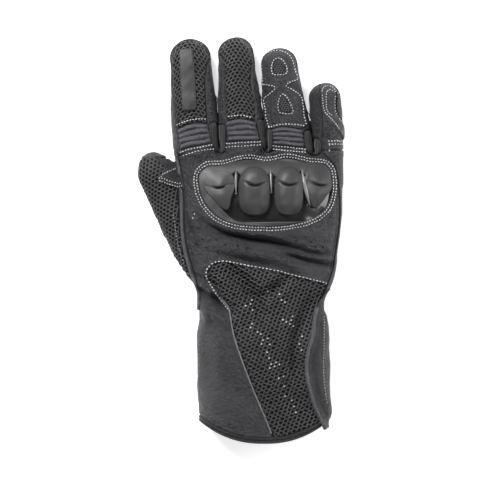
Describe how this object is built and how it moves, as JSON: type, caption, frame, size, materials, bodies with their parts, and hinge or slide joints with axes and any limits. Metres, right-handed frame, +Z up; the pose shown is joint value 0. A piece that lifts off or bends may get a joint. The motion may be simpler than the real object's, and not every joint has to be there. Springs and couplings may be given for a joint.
{
  "type": "summer motorcycle glove",
  "caption": "Right-hand long-cuff riding glove of leather and open mesh, with a hard knuckle guard, stretch ribs and a curved hem, lying palm down.",
  "frame": {"origin": "middle of the glove's plan, on the surface that it lies on", "axes": "+Y towards the fingertips, +X towards the little finger's side, +Z up out of the back of the hand; the palm is down"},
  "size_m": [0.1538, 0.3028, 0.0488],
  "materials": {
    "leather": "matt, fine grain",
    "dark_leather": "matt, fine grain",
    "spacer_mesh": "open mesh",
    "knit": "knit",
    "satin_plastic": "satin",
    "gloss_plastic": "gloss",
    "patch": "smooth matt"
  },
  "bodies": {
    "root": {"back_panel": "leather", "cuff_flap": "leather", "index_front": "leather", "index_ribs": "leather", "middle_front": "leather", "middle_ribs": "leather", "ring_back": "leather", "ring_ribs": "leather", "little_back": "leather", "little_overlay": "leather", "thumb_tab": "leather", "thumb_side_strip": "leather", "little_side_strip": "leather", "palm_panel": "dark_leather", "hem_binding": "dark_leather", "ring_front": "dark_leather", "little_front": "dark_leather", "thumb_front": "dark_leather", "cuff_mesh": "spacer_mesh", "index_mesh": "spacer_mesh", "middle_mesh": "spacer_mesh", "ring_window_tip": "spacer_mesh", "ring_window_middle": "spacer_mesh", "ring_notch_left": "spacer_mesh", "ring_notch_right": "spacer_mesh", "little_mesh": "spacer_mesh", "thumb_mesh": "spacer_mesh", "gusset_index_middle": "knit", "gusset_middle_ring": "knit", "gusset_ring_little": "knit", "guard_shell": "satin_plastic", "guard_base": "gloss_plastic", "index_patch": "patch"}
  },
  "joints": []
}
